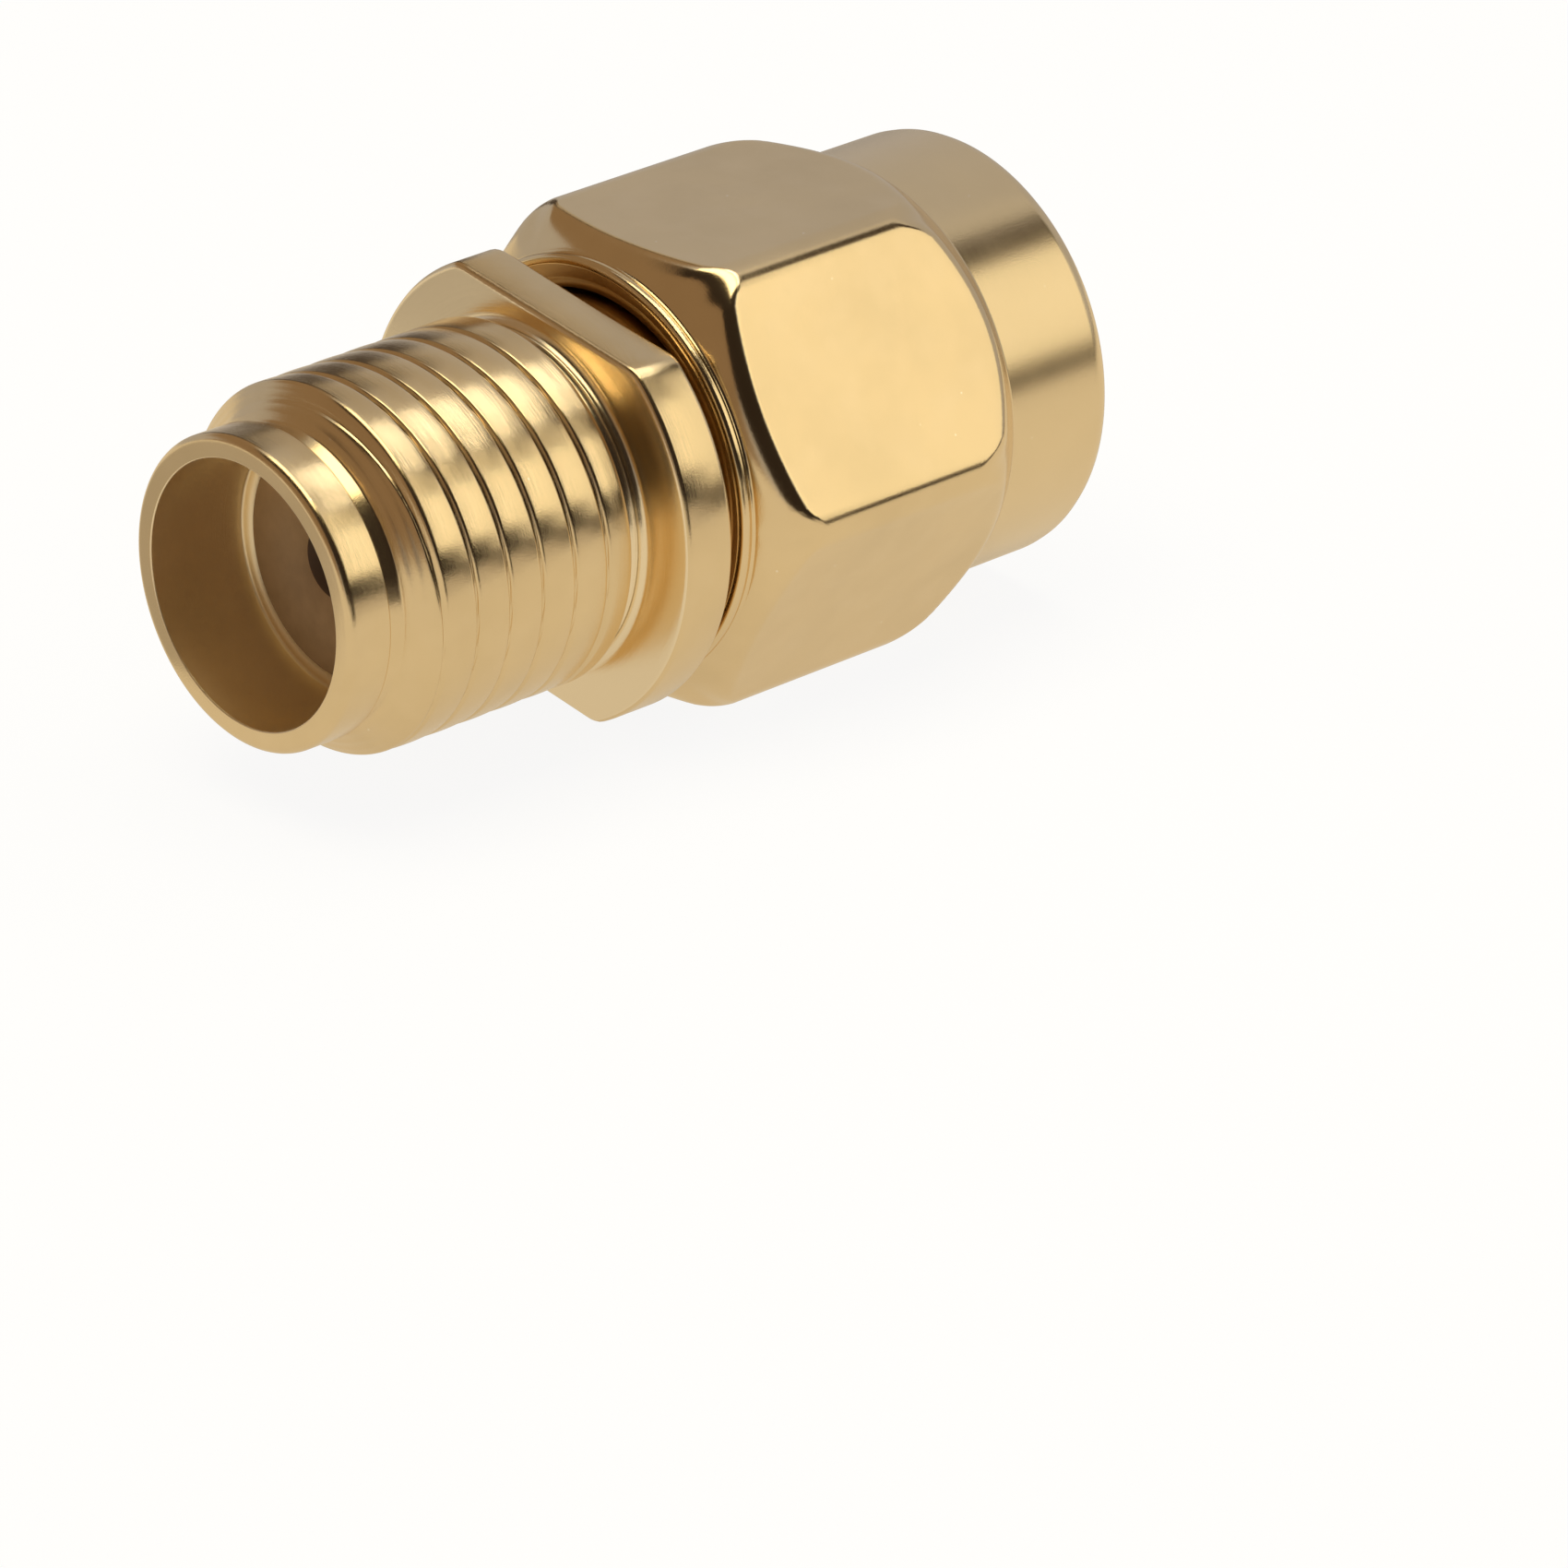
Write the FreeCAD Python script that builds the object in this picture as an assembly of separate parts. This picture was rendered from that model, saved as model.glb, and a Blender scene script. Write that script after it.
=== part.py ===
import FreeCAD, Part
import math
import os

# Coaxial adapter, screwed socket at one end and pin with a loose coupling nut at the other.
# Millimetres. The pieces are drawn about the X axis, from the socket's mouth at x = 0
# towards the nut's free end, and are moved at the end so that the nut's lower hexagon
# face lies on z = 0 and the origin is under the middle of the length.

# Socket end of the body
bore_radius = 2.30
bore_depth = 1.95
bore_lead_in = 0.08
ledge_rounding = 0.08
pilot_radius = 2.70
pilot_length = 0.85
pilot_rounding = 0.12
undercut_radius = 2.52
undercut_length = 0.30
thread_radius = 3.175
thread_length = 4.50
thread_start_height = 0.45
thread_start_length = 0.34
thread_rounding = 0.10
thread_pitch = 0.7056
thread_valley_depth = 0.07
thread_valley_width = 0.16
thread_valley_floor = 0.04
thread_overcut = 0.05
thread_lead = 0.07
relief_radius = 2.88
relief_length = 0.47
relief_rounding = 0.15

# Wrench flange
flange_radius = 4.00
flange_thickness = 1.00
flange_across_flats = 6.70
flange_rounding = 0.12
flange_roll = 7.9

# Neck that carries the nut
neck_radius = 3.05
neck_edge = 0.12
nut_running_clearance = 0.05

# Retaining ring and its two grooves
ring_wire_length = 0.50
ring_wire_width = 0.46
ring_reach_into_nut = 0.22
ring_side_clearance = 0.06
ring_radial_clearance = 0.06
ring_gap = 0.80
ring_rounding = 0.08

# Coupling nut
across_flats = 7.94
hexagon_sides = 6
hex_edge_rounding = 0.50
hex_front_rounding = 0.40
hex_rear_rounding = 0.60
nut_gap = 0.50
nut_rear_wall = 1.75
lip_inside_flats = 0.27
lip_width = 0.15
lip_height = 0.27
lip_recess_depth = 0.17
lip_recess_width = 0.16
lip_rounding = 0.09
front_chamfer_angle = 30.0
hex_flat_length = 5.44
rear_chamfer_angle = 51.0
collar_inside_flats = 0.19
collar_end_length = 2.42
collar_rounding = 0.18
nut_thread_minor_radius = 2.80
nut_thread_relief_radius = 3.25
nut_thread_relief_length = 0.70
nut_thread_entry_radius = 3.30
nut_thread_entry_length = 0.40

# Plug end
plug_radius = 2.295
plug_length = 1.90
plug_rounding = 0.10
plug_depth_in_nut = 3.00
spigot_radius = 2.42
spigot_length = 1.60
gasket_thickness = 0.80
gasket_inside_neck = 0.05
gasket_rounding = 0.15

# Insulators
insulator_radius = 2.05
collar_seat_depth = 0.50

# Centre contacts
contact_radius = 0.635
contact_recess = 0.30
socket_hole_radius = 0.475
socket_hole_depth = 3.00
socket_hole_lead_in = 0.06
finger_slot_width = 0.15
finger_slot_length = 2.20
pin_radius = 0.455
pin_length = 2.20
pin_tip_length = 0.35
pin_tip_radius = 0.20
pin_collar_radius = 0.95
joint_spigot_radius = 0.38
joint_spigot_length = 1.60
joint_spigot_end_gap = 0.20

# Places along the axis
undercut_start = pilot_length
thread_start = undercut_start + undercut_length
thread_end = thread_start + thread_length
first_valley = thread_start - thread_lead
flange_front = thread_end + relief_length
flange_rear = flange_front + flange_thickness
nut_front = flange_rear + nut_gap
lip_foot = nut_front + lip_height
hex_front = lip_foot + lip_inside_flats * math.tan(math.radians(front_chamfer_angle))
hex_rear = hex_front + hex_flat_length
collar_start = hex_rear + collar_inside_flats * math.tan(math.radians(rear_chamfer_angle))
nut_end = collar_start + collar_end_length
plug_face = nut_end - plug_depth_in_nut
gasket_front = plug_face - plug_length
neck_end = gasket_front - gasket_thickness
ring_start = nut_front + nut_rear_wall
ring_end = ring_start + ring_wire_length
spigot_start = neck_end - spigot_length
contact_front = bore_depth + contact_recess
insulator_joint = flange_rear + nut_gap
pin_end = plug_face + pin_length
lip_outer_radius = across_flats / 2 - lip_inside_flats
lip_inner_radius = lip_outer_radius - lip_width
collar_radius = across_flats / 2 - collar_inside_flats
nut_bore_radius = neck_radius + nut_running_clearance
gasket_outer_radius = neck_radius - gasket_inside_neck
lip_recess_radius = nut_bore_radius + lip_recess_width
ring_outer_radius = nut_bore_radius + ring_reach_into_nut
ring_inner_radius = ring_outer_radius - ring_wire_width
ring_groove_floor = ring_inner_radius - ring_radial_clearance
nut_groove_radius = ring_outer_radius + ring_radial_clearance
groove_start = ring_start - ring_side_clearance
groove_end = ring_end + ring_side_clearance
hex_corner_radius = across_flats / 2 / math.cos(math.pi / hexagon_sides)

AXIS_START = FreeCAD.Vector(0, 0, 0)
AXIS = FreeCAD.Vector(1, 0, 0)
FULL_TURN = 360.0
QUARTER_TURN = FULL_TURN / 4
CUTTING_TOLERANCE = 0.0001


def corner_cut(before, here, after, rounding):
    """Points of one corner of an outline: the corner itself, or a tangent arc's three."""
    if rounding == 0:
        return [here]
    back = (before - here).normalize()
    ahead = (after - here).normalize()
    half_angle = back.getAngle(ahead) / 2
    bisector = (back + ahead).normalize()
    reach = rounding / math.tan(half_angle)
    middle = rounding / math.sin(half_angle) - rounding
    return [here + back * reach, here + bisector * middle, here + ahead * reach]


def outline(corners):
    """Closed face in the XZ plane from corners of (x, radius) or (x, radius, rounding)."""
    points = [FreeCAD.Vector(corner[0], 0, corner[1]) for corner in corners]
    roundings = [corner[2] if len(corner) > 2 else 0 for corner in corners]
    cuts = []
    for index, here in enumerate(points):
        after = points[(index + 1) % len(points)]
        cuts.append(corner_cut(points[index - 1], here, after, roundings[index]))
    edges = []
    for index, cut in enumerate(cuts):
        if len(cut) > 1:
            edges.append(Part.Arc(*cut).toShape())
        edges.append(Part.LineSegment(cut[-1], cuts[(index + 1) % len(cuts)][0]).toShape())
    return Part.Face(Part.Wire(edges))


def turned(corners):
    """Solid turned on the axis from a closed outline."""
    return outline(corners).revolve(AXIS_START, AXIS, FULL_TURN)


def rod(start, end, radius):
    """Plain round bar on the axis."""
    return Part.makeCylinder(radius, end - start, FreeCAD.Vector(start, 0, 0), AXIS)


def wrench_flats(start, end, distance, roll):
    """Slab between two wrench flats, wide enough to clear the flange, rolled on the axis."""
    width = 2 * (flange_radius + flange_rounding)
    corner = FreeCAD.Vector(start, -width / 2, -distance / 2)
    slab = Part.makeBox(end - start, width, distance, corner)
    slab.rotate(AXIS_START, AXIS, roll)
    return slab


def make_flange():
    """Round flange with two flats for a wrench."""
    disc = turned([
        (flange_front, 0),
        (flange_front, flange_radius, flange_rounding),
        (flange_rear, flange_radius, flange_rounding),
        (flange_rear, 0),
    ])
    return disc.common(wrench_flats(flange_front, flange_rear, flange_across_flats, flange_roll))


def make_thread_turn():
    """Cutter for one turn of the thread's valley, right-hand, begun under the axis."""
    floor_radius = thread_radius - thread_valley_depth
    outside_radius = thread_radius + thread_overcut
    slope = (thread_valley_width - thread_valley_floor) / 2 / thread_valley_depth
    outside_half = thread_valley_width / 2 + slope * thread_overcut
    floor_half = thread_valley_floor / 2
    section = Part.makePolygon([
        FreeCAD.Vector(floor_radius, 0, -floor_half),
        FreeCAD.Vector(outside_radius, 0, -outside_half),
        FreeCAD.Vector(outside_radius, 0, outside_half),
        FreeCAD.Vector(floor_radius, 0, floor_half),
        FreeCAD.Vector(floor_radius, 0, -floor_half),
    ])
    path = Part.Wire(Part.makeHelix(thread_pitch, thread_pitch, thread_radius).Edges)
    turn = path.makePipeShell([section], True, True)
    turn.rotate(AXIS_START, FreeCAD.Vector(0, 1, 0), QUARTER_TURN)
    return turn


def make_thread_valleys():
    """Cutters for the whole thread, turn after turn."""
    turn = make_thread_turn()
    count = math.ceil((thread_end - first_valley) / thread_pitch)
    return [turn.translated(AXIS * (first_valley + thread_pitch * index)) for index in range(count)]


def make_adapter_body():
    """Socket bore, pilot, threaded barrel, wrench flange and neck, turned as one."""
    barrel = turned([
        (0, bore_radius + bore_lead_in),
        (0, pilot_radius, pilot_rounding),
        (undercut_start, pilot_radius),
        (undercut_start, undercut_radius),
        (thread_start, undercut_radius),
        (thread_start, thread_radius - thread_start_height),
        (thread_start + thread_start_length, thread_radius, thread_rounding),
        (thread_end, thread_radius, thread_rounding),
        (thread_end, relief_radius, relief_rounding),
        (flange_front, relief_radius, relief_rounding),
        (flange_front, neck_radius),
        (groove_start, neck_radius),
        (groove_start, ring_groove_floor),
        (groove_end, ring_groove_floor),
        (groove_end, neck_radius),
        (neck_end - neck_edge, neck_radius),
        (neck_end, neck_radius - neck_edge),
        (neck_end, spigot_radius),
        (spigot_start, spigot_radius),
        (spigot_start, insulator_radius),
        (bore_depth, insulator_radius, ledge_rounding),
        (bore_depth, bore_radius, ledge_rounding),
        (bore_lead_in, bore_radius),
    ])
    flange_ring = make_flange().cut(rod(flange_front, flange_rear, neck_radius))
    threaded = barrel.cut(make_thread_valleys(), CUTTING_TOLERANCE)
    return threaded.fuse(flange_ring).removeSplitter()


def make_outer_contact():
    """Plug sleeve that enters a mating socket, with a spigot pressed into the neck."""
    return turned([
        (spigot_start, insulator_radius),
        (spigot_start, spigot_radius),
        (neck_end, spigot_radius),
        (neck_end, plug_radius),
        (plug_face, plug_radius, plug_rounding),
        (plug_face, insulator_radius),
    ])


def make_hexagon():
    """Hexagonal bar with rounded edges, two of its faces level."""
    corners = []
    for index in range(hexagon_sides):
        angle = 2 * math.pi * index / hexagon_sides
        corners.append(FreeCAD.Vector(0, math.cos(angle), math.sin(angle)) * hex_corner_radius)
    edges = []
    cuts = []
    for index, here in enumerate(corners):
        after = corners[(index + 1) % hexagon_sides]
        cuts.append(corner_cut(corners[index - 1], here, after, hex_edge_rounding))
    for index, cut in enumerate(cuts):
        edges.append(Part.Arc(*cut).toShape())
        edges.append(Part.LineSegment(cut[-1], cuts[(index + 1) % hexagon_sides][0]).toShape())
    bar = Part.Face(Part.Wire(edges)).extrude(AXIS * (nut_end - nut_front))
    bar.translate(AXIS * nut_front)
    return bar


def edges_between(shape, start, end):
    """Edges that lie wholly between two places along the axis."""
    return [edge for edge in shape.Edges if start < edge.BoundBox.XMin and edge.BoundBox.XMax < end]


def make_coupling_nut():
    """Hexagon nut with turned chamfers, a raised lip, a round collar and a stepped bore."""
    corner_height = hex_corner_radius - across_flats / 2
    front_run = corner_height * math.tan(math.radians(front_chamfer_angle))
    rear_run = corner_height * math.tan(math.radians(rear_chamfer_angle))
    shape = turned([
        (nut_front, 0),
        (nut_front, lip_outer_radius, lip_rounding),
        (lip_foot, lip_outer_radius),
        (hex_front + front_run, hex_corner_radius),
        (hex_rear - rear_run, hex_corner_radius),
        (collar_start, collar_radius),
        (nut_end, collar_radius, collar_rounding),
        (nut_end, 0),
    ])
    bar = make_hexagon().common(shape)
    hex_middle = (hex_front + hex_rear) / 2
    front_edges = edges_between(bar, (lip_foot + hex_front) / 2, hex_middle)
    bar = bar.makeFillet(hex_front_rounding, front_edges)
    rear_edges = edges_between(bar, hex_middle, (hex_rear + collar_start) / 2)
    bar = bar.makeFillet(hex_rear_rounding, rear_edges)
    relief_end = gasket_front + nut_thread_relief_length
    bore = turned([
        (nut_front, 0),
        (nut_front, lip_inner_radius),
        (nut_front + lip_recess_depth, lip_recess_radius),
        (nut_front + lip_recess_depth, nut_bore_radius),
        (groove_start, nut_bore_radius),
        (groove_start, nut_groove_radius),
        (groove_end, nut_groove_radius),
        (groove_end, nut_bore_radius),
        (gasket_front, nut_bore_radius),
        (gasket_front, nut_thread_relief_radius),
        (relief_end, nut_thread_relief_radius),
        (relief_end, nut_thread_minor_radius),
        (nut_end - nut_thread_entry_length, nut_thread_minor_radius),
        (nut_end, nut_thread_entry_radius),
        (nut_end, 0),
    ])
    return bar.cut(bore)


def make_retaining_ring():
    """Split spring ring, half in the neck's groove and half in the nut's."""
    ring = turned([
        (ring_start, ring_inner_radius, ring_rounding),
        (ring_start, ring_outer_radius, ring_rounding),
        (ring_end, ring_outer_radius, ring_rounding),
        (ring_end, ring_inner_radius, ring_rounding),
    ])
    corner = FreeCAD.Vector(ring_start, -ring_gap / 2, 0)
    gap = Part.makeBox(ring_wire_length, ring_gap, 2 * ring_outer_radius, corner)
    return ring.cut(gap)


def make_sealing_gasket():
    """Flat rubber ring at the foot of the plug sleeve."""
    return turned([
        (neck_end, plug_radius),
        (neck_end, gasket_outer_radius, gasket_rounding),
        (gasket_front, gasket_outer_radius, gasket_rounding),
        (gasket_front, plug_radius, gasket_rounding),
    ])


def make_socket_insulator():
    """Moulded sleeve round the socket contact, its face at the foot of the bore."""
    sleeve = rod(bore_depth, insulator_joint, insulator_radius)
    return sleeve.cut(rod(bore_depth, insulator_joint, contact_radius))


def make_plug_insulator():
    """Moulded sleeve round the pin contact, with a seat for the contact's collar."""
    sleeve = rod(insulator_joint, plug_face, insulator_radius)
    sleeve = sleeve.cut(rod(insulator_joint, plug_face, contact_radius))
    seat = rod(insulator_joint, insulator_joint + collar_seat_depth, pin_collar_radius)
    return sleeve.cut(seat)


def make_socket_contact():
    """Tube with four spring fingers in front and a blind hole for the pin's spigot behind."""
    hole_end = contact_front + socket_hole_depth
    tube = turned([
        (contact_front, 0),
        (contact_front, contact_radius),
        (insulator_joint, contact_radius),
        (insulator_joint, 0),
    ])
    hole = turned([
        (contact_front, 0),
        (contact_front, socket_hole_radius + socket_hole_lead_in),
        (contact_front + socket_hole_lead_in, socket_hole_radius),
        (hole_end, socket_hole_radius),
        (hole_end, 0),
    ])
    tube = tube.cut(hole)
    spigot_hole_start = insulator_joint - joint_spigot_length - joint_spigot_end_gap
    tube = tube.cut(rod(spigot_hole_start, insulator_joint, joint_spigot_radius))
    corner = FreeCAD.Vector(contact_front, -contact_radius, -finger_slot_width / 2)
    slot = Part.makeBox(finger_slot_length, 2 * contact_radius, finger_slot_width, corner)
    tube = tube.cut(slot)
    slot.rotate(AXIS_START, AXIS, QUARTER_TURN)
    return tube.cut(slot)


def make_pin_contact():
    """Solid pin with a tapered tip, a collar that traps it, and a spigot for the socket."""
    return turned([
        (insulator_joint - joint_spigot_length, 0),
        (insulator_joint - joint_spigot_length, joint_spigot_radius),
        (insulator_joint, joint_spigot_radius),
        (insulator_joint, pin_collar_radius),
        (insulator_joint + collar_seat_depth, pin_collar_radius),
        (insulator_joint + collar_seat_depth, contact_radius),
        (plug_face, contact_radius),
        (plug_face, pin_radius),
        (pin_end - pin_tip_length, pin_radius),
        (pin_end, pin_tip_radius),
        (pin_end, 0),
    ])


pieces = {
    "adapter_body": make_adapter_body(),
    "outer_contact": make_outer_contact(),
    "coupling_nut": make_coupling_nut(),
    "retaining_ring": make_retaining_ring(),
    "sealing_gasket": make_sealing_gasket(),
    "socket_insulator": make_socket_insulator(),
    "plug_insulator": make_plug_insulator(),
    "socket_contact": make_socket_contact(),
    "pin_contact": make_pin_contact(),
}

os.makedirs("parts", exist_ok=True)
resting_place = FreeCAD.Vector(-nut_end / 2, 0, across_flats / 2)
for name, shape in pieces.items():
    shape.translate(resting_place)
    shape.exportStep("parts/" + name + ".step")
    print(name, "solids", len(shape.Solids), "valid", shape.isValid(), "volume", round(shape.Volume, 4))
print("length", round(nut_end, 4))
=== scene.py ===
import math

import bpy
import numpy as np
from mathutils import Matrix, Vector


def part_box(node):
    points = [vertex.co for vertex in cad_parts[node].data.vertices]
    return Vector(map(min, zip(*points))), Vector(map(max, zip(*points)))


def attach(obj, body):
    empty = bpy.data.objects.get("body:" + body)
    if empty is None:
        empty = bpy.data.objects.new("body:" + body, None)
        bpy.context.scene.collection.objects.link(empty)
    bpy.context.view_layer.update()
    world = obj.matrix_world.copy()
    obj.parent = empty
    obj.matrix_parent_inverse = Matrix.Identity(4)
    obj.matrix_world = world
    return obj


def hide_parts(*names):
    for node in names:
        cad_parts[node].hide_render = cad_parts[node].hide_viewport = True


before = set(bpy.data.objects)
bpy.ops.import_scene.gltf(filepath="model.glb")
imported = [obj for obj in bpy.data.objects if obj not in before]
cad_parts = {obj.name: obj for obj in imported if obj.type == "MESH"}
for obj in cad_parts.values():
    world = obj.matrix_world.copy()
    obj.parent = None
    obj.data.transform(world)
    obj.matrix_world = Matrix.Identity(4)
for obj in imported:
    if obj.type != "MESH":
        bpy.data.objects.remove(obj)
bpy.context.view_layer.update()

# Sizes in millimetres, measured along the axis from the socket's mouth and out from the axis.
MM = 0.001
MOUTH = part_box("adapter_body")[0][0]
NUT_LOW, NUT_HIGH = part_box("coupling_nut")
AXIS_HEIGHT = (NUT_LOW[2] + NUT_HIGH[2]) / 2
NUT_FRONT = (NUT_LOW[0] - MOUTH) / MM
NUT_END = (NUT_HIGH[0] - MOUTH) / MM
HALF_ACROSS_FLATS = (NUT_HIGH[2] - NUT_LOW[2]) / 2 / MM
NUT_HALF_WIDTH = (NUT_HIGH[1] - NUT_LOW[1]) / 2 / MM
NECK_END = (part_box("adapter_body")[1][0] - MOUTH) / MM
PLUG_FACE = (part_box("outer_contact")[1][0] - MOUTH) / MM
GASKET_LOW, GASKET_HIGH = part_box("sealing_gasket")
GASKET_FRONT = (GASKET_HIGH[0] - MOUTH) / MM

# Socket end
BORE_RADIUS = 2.30
BORE_DEPTH = 1.95
PILOT_RADIUS = 2.70
PILOT_LENGTH = 0.85
UNDERCUT_RADIUS = 2.52
THREAD_START = 1.15
THREAD_END = 5.65
CHAMFER_START = THREAD_START + 0.10
BARREL_END = THREAD_END - 0.12
THREAD_RADIUS = 3.175
THREAD_START_RADIUS = 2.725
THREAD_START_LENGTH = 0.34
PITCH = 0.7056
FIRST_VALLEY = 1.57
FIRST_VALLEY_ANGLE = math.radians(160)
CREST_SAG = 0.016
VALLEY_DEPTH = 0.075
VALLEY_WIDTH = 0.046
CHAMFER_END = CHAMFER_START + THREAD_START_LENGTH
THREAD_FADE_IN = (THREAD_START + 0.1, THREAD_START + 0.45)
THREAD_FADE_OUT = (THREAD_END - 0.55, THREAD_END - 0.25)
RIDGE_PITCH = 0.115
RIDGE_DEPTH = 0.013
RIDGE_FADE = 0.06
RELIEF_RADIUS = 2.88
RELIEF_STEP_RADIUS = RELIEF_RADIUS + 0.07
RELIEF_STEP_START = THREAD_END + 0.24
RELIEF_STEP_END = THREAD_END + 0.28
INSULATOR_RADIUS = 2.05
BORE_FOOT_ROUNDING = 0.06
MOUTH_ROUNDING = 0.03
PILOT_ROUNDING = 0.15
PILOT_REAR_ROUNDING = 0.05
UNDERCUT_FRONT_ROUNDING = 0.02
UNDERCUT_REAR_ROUNDING = 0.08
UNDERCUT_RISE = 0.08
UNDERCUT_SLOPE = 0.03
CHAMFER_ROUNDING = 0.14
THREAD_REAR_ROUNDING = 0.10
RELIEF_ROUNDINGS = (0.05, 0.20, 0.04)

# Flange and neck
FLANGE_FRONT = 6.12
FLANGE_REAR = 7.12
FLANGE_RADIUS = 4.00
HALF_FLANGE_FLATS = 3.35
FLANGE_ROLL = math.radians(7.9)
FLANGE_CORNER_BLEND = 0.10
FLANGE_EDGE = 0.11
FLANGE_FOOT_ROUNDING = 0.15
FLANGE_FOOT_RADIUS = RELIEF_RADIUS + 0.26
LEAST_COSINE = 0.05
NECK_RADIUS = 3.05
FLANGE_BACK_RADIUS = NECK_RADIUS + 0.16
NECK_FOOT_ROUNDING = 0.08
NECK_END_ROUNDING = 0.12
RING_GROOVE = (9.31, 9.93)
RING_GROOVE_RADIUS = 2.80
SPIGOT_RADIUS = 2.42
SPIGOT_LENGTH = 1.60

# Coupling nut
LIP_INNER_RADIUS = 3.55
LIP_OUTER_RADIUS = 3.70
LIP_HEIGHT = 0.27
LIP_RECESS_DEPTH = 0.17
LIP_RECESS_RADIUS = 3.26
LIP_RECESS_ROUNDING = 0.10
LIP_INNER_ROUNDING = 0.06
LIP_OUTER_ROUNDING = 0.09
LIP_FOOT_ROUNDING = 0.08
LIP_FOOT_RADIUS = LIP_OUTER_RADIUS - 0.05
LIP_FOOT_START = 0.12
LIP_FOOT_END = 0.02
NUT_HOLE_RADIUS = 3.10
FRONT_CHAMFER = math.radians(30)
REAR_CHAMFER = math.radians(51)
HEX_FRONT = NUT_FRONT + LIP_HEIGHT + (HALF_ACROSS_FLATS - LIP_OUTER_RADIUS) * math.tan(FRONT_CHAMFER)
HEX_REAR = HEX_FRONT + 5.44
FRONT_BLEND = 0.40
REAR_BLEND = 0.13
CORNER_ROUNDING = 0.62
EDGE_SOFTENING = 1.35
FRONT_CORNER_BLEND = 0.42
REAR_CORNER_BLEND = 0.36
COLLAR_RADIUS = 3.78
COLLAR_ROUNDING = 0.40
COLLAR_STEP = 0.04
NUT_GROOVE_RADIUS = 3.38
NUT_MINOR_RADIUS = 2.80
NUT_THREAD_DEPTH = 0.34
NUT_FLANK_TOP = 1.25
NUT_FLANK_SLOPE = 1.5
NUT_THREAD_FADE = 0.2
NUT_RELIEF_RADIUS = 3.25
NUT_RELIEF_LENGTH = 0.70
NUT_ENTRY_RADIUS = 3.30
NUT_ENTRY_LENGTH = 0.40
NUT_ENTRY_ROUNDING = 0.05
NUT_ENTRY_FADE = 0.15

# Plug end
PLUG_RADIUS = 2.295
CONTACT_RADIUS = 0.635
INSULATOR_JOINT = 7.62
PIN_RADIUS = 0.455
PIN_LENGTH = (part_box("pin_contact")[1][0] - MOUTH) / MM - PLUG_FACE
PIN_TIP_LENGTH = 0.35
PIN_TIP_RADIUS = 0.20
PIN_COLLAR_RADIUS = 0.95
PIN_COLLAR_LENGTH = 0.50
PIN_SPIGOT_RADIUS = 0.38
PIN_SPIGOT_LENGTH = 1.60
PIN_COLLAR_ROUNDING = 0.02
PIN_SHOULDER_ROUNDING = 0.03
PIN_TIP_ROUNDINGS = (0.08, 0.06)
PIN_START_RADIUS = 0.05
PIN_POINT_RADIUS = 0.02
PLUG_ROUNDING = 0.10
PLUG_BREAK = 0.02
GASKET_ROUNDING = 0.15
GASKET_SEAM = 0.002
INSULATOR_ROUNDING = 0.04

# Fineness of the meshes
COLUMNS = 288
PIN_COLUMNS = 96
ARC_STEPS = 5
FRONT_ARC_STEPS = 9
CHAMFER_ARC_STEPS = 14
LIP_ARC_STEPS = 7
THREAD_STEPS = 34
NUT_THREAD_STEPS = 16
FLANGE_EDGE_STEPS = 6
FLANGE_FACE_STEPS = 7
HEX_EDGE_ANGLE = math.radians(6)
HEX_FACE_COLUMNS = 29
HEX_EDGE_COLUMNS = 41
NUT_FRONT_REACH = 0.85
NUT_REAR_REACH = 1.3
NUT_FRONT_ROWS = 46
NUT_MIDDLE_ROWS = 8
NUT_REAR_ROWS = 40

# Tones of the materials
GOLD_TONE = (0.87, 0.69, 0.42)
CONTACT_TONE = (0.80, 0.58, 0.29)
SPRING_TONE = (0.74, 0.55, 0.30)
# Painted light: paler gold that lifts the shaded bore and the recess before the flange.
RECESS_PAINTED_LIGHT = (0.96, 0.82, 0.58)
SHADED = (0.62, 0.44, 0.23)
SATIN_TONE = (0.92, 0.75, 0.48)
# Painted glints: near-white tone of the tiny specks.
PAINTED_GLINT_TONE = (1.0, 0.93, 0.78)
SMUDGED = 0.93
POLISHED = (1.03, 1.05, 1.12)
INSULATOR_DARK = (0.300, 0.178, 0.078)
INSULATOR_LIGHT = (0.360, 0.215, 0.100)
# Painted shade: near-black brown for the wall of the insulator's contact hole.
PAINTED_HOLE_SHADE = (0.085, 0.040, 0.014)
RUBBER_DARK = (0.42, 0.07, 0.035)
RUBBER_LIGHT = (0.60, 0.13, 0.07)

# Grain of the materials: scales per metre, shares from 0 to 1, relief in metres
MARK_SCALE = 38000.0
MARK_DRIFT = 0.35
GRAIN_SCALE = 32000.0
SMUDGE_SCALE = 420.0
CLOUD_SCALE = 1300.0
CLOUD_SHARE = 0.35
SPECK_SCALE = 1500.0
SPECK_REACH = 0.032
SPECK_SHARE = 0.55
SATIN_SHARE = 0.5
SMUDGE_ROUGHNESS = 0.10
MARK_ROUGHNESS = 0.12
BORED_ROUGHNESS = 0.20
SATIN_ROUGHNESS = 0.07
LEAST_ROUGHNESS = 0.05
MARK_RELIEF = 0.0000030
GRAIN_RELIEF = 0.0000025
GRAIN_STRENGTH = 0.45
MOTTLE_SCALE = 2600.0
RING_SCALE = 26000.0
RING_DRIFT = 0.7
RING_RELIEF = 0.000003
BLOOM_SCALE = 1800.0
PIT_SCALE = 14000.0
PIT_RELIEF = 0.000004

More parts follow.
